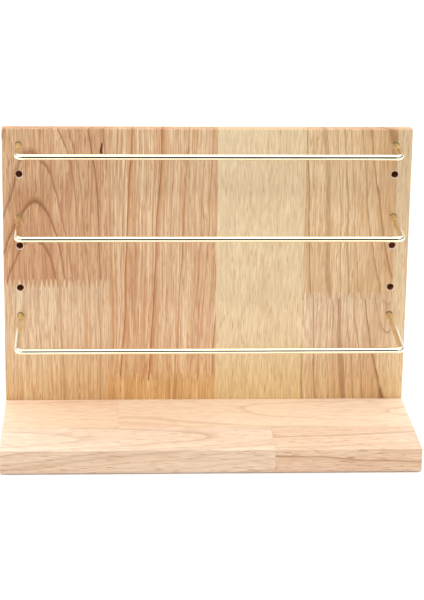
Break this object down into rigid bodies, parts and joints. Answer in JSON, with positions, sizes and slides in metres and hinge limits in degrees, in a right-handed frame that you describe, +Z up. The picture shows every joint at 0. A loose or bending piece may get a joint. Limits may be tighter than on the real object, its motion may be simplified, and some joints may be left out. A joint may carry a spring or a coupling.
{
  "type": "eyeglass display rack",
  "caption": "Counter-top eyeglass display rack: an upright wooden panel on a wooden base, with brass U-shaped bars that plug into rows of holes in the panel.",
  "frame": {"origin": "on the surface that the rack stands on, below the middle of its outline", "axes": "+Z up, +X to the viewer's right along the bars, -Y to the front, out of the panel's face"},
  "size_m": [0.34, 0.13, 0.257],
  "materials": {
    "rubberwood": "clear satin lacquer over edge-glued and finger-jointed staves",
    "brass": "bright polished",
    "zinc_steel": "zinc plated",
    "beech": "raw, fluted",
    "rubber": "matte"
  },
  "bodies": {
    "stand": {"back_panel": "rubberwood", "base_board": "rubberwood", "panel_screw_1": "zinc_steel", "panel_screw_2": "zinc_steel", "panel_screw_3": "zinc_steel", "panel_screw_4": "zinc_steel", "panel_dowel_left": "beech", "panel_dowel_right": "beech", "foot_front_left": "rubber", "foot_front_right": "rubber", "foot_back_left": "rubber", "foot_back_right": "rubber"},
    "upper_bar": {"upper_bar": "brass", "upper_bar_sleeve_left": "brass", "upper_bar_sleeve_right": "brass"},
    "middle_bar": {"middle_bar": "brass", "middle_bar_sleeve_left": "brass", "middle_bar_sleeve_right": "brass"},
    "lower_bar": {"lower_bar": "brass", "lower_bar_sleeve_left": "brass", "lower_bar_sleeve_right": "brass"}
  },
  "joints": [
    {"name": "upper_bar_pull", "type": "slide", "parent": "stand", "child": "upper_bar", "axis": [0, -0.9986, -0.0523], "range_m": [0, 0.0075]},
    {"name": "middle_bar_pull", "type": "slide", "parent": "stand", "child": "middle_bar", "axis": [0, -0.9986, -0.0523], "range_m": [0, 0.0075]},
    {"name": "lower_bar_pull", "type": "slide", "parent": "stand", "child": "lower_bar", "axis": [0, -0.9986, -0.0523], "range_m": [0, 0.0075]}
  ]
}
